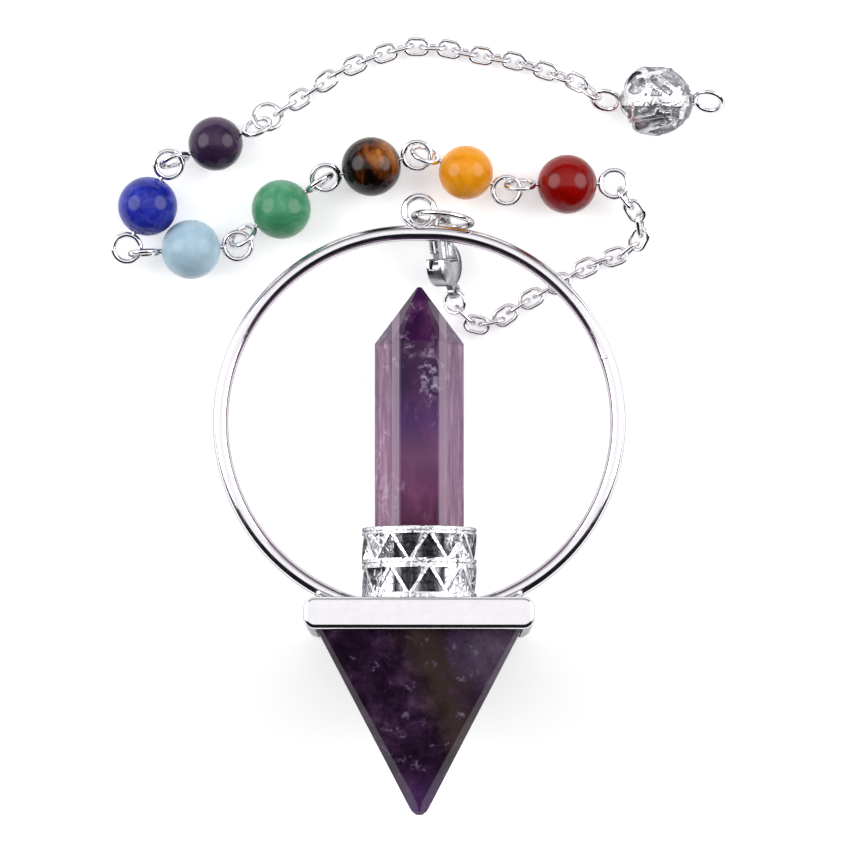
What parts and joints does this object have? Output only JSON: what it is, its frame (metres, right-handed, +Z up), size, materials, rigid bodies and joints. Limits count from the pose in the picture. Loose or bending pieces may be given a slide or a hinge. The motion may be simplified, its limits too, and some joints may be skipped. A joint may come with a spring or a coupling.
{
  "type": "pendulum pendant",
  "caption": "Dowsing pendulum pendant: hexagonal point and pyramid of purple stone in one hooped mount, lobster clasp, bead chain and cast end ball, laid down loosely.",
  "frame": {"origin": "on the surface that the pendant lies on, below the middle of the whole object's box", "axes": "+X to the object's right, +Y from the pyramid's tip toward the hoop's top, +Z up from the surface"},
  "size_m": [0.0608, 0.0759, 0.0225],
  "materials": {
    "plated_metal": "polished rhodium-plated silver",
    "plated_wire": "polished rhodium-plated wire",
    "plated_chain": "polished rhodium-plated links",
    "cast_metal": "cast and plated, bright bars over darker recesses",
    "amethyst_point": "polished translucent purple stone",
    "amethyst_pyramid": "polished dark purple stone",
    "red_stone": "polished deep red stone",
    "yellow_stone": "polished amber-yellow stone",
    "tiger_eye": "polished brown stone with golden bands",
    "green_stone": "polished mottled green stone",
    "pale_blue_stone": "polished milky pale blue stone",
    "lapis": "polished deep blue stone with paler patches",
    "dark_amethyst": "polished dark plum stone"
  },
  "bodies": {
    "pendant": {"setting": "plated_metal", "hex_point": "amethyst_point", "pyramid": "amethyst_pyramid", "jump_ring": "plated_wire", "clasp_body": "plated_metal", "tail_ring": "plated_wire", "lower_chain": "plated_chain", "upper_chain": "plated_chain", "upper_ring": "plated_wire", "ball": "cast_metal", "ball_pin": "plated_wire", "bead_red": "red_stone", "bead_yellow": "yellow_stone", "bead_tiger": "tiger_eye", "bead_green": "green_stone", "bead_pale_blue": "pale_blue_stone", "bead_lapis": "lapis", "bead_amethyst": "dark_amethyst", "pin_red": "plated_wire", "pin_yellow": "plated_wire", "pin_tiger": "plated_wire", "pin_green": "plated_wire", "pin_pale_blue": "plated_wire", "pin_lapis": "plated_wire", "pin_amethyst": "plated_wire"},
    "lever": {"clasp_lever": "plated_metal"}
  },
  "joints": [
    {"name": "clasp_lever_hinge", "type": "hinge", "parent": "pendant", "child": "lever", "pos_m": [0.00224, 0.01506, 0.0031], "axis": [-0.8627, -0.0755, -0.5], "range_deg": [0, 18], "stiffness_Nm_per_rad": 0.004}
  ]
}
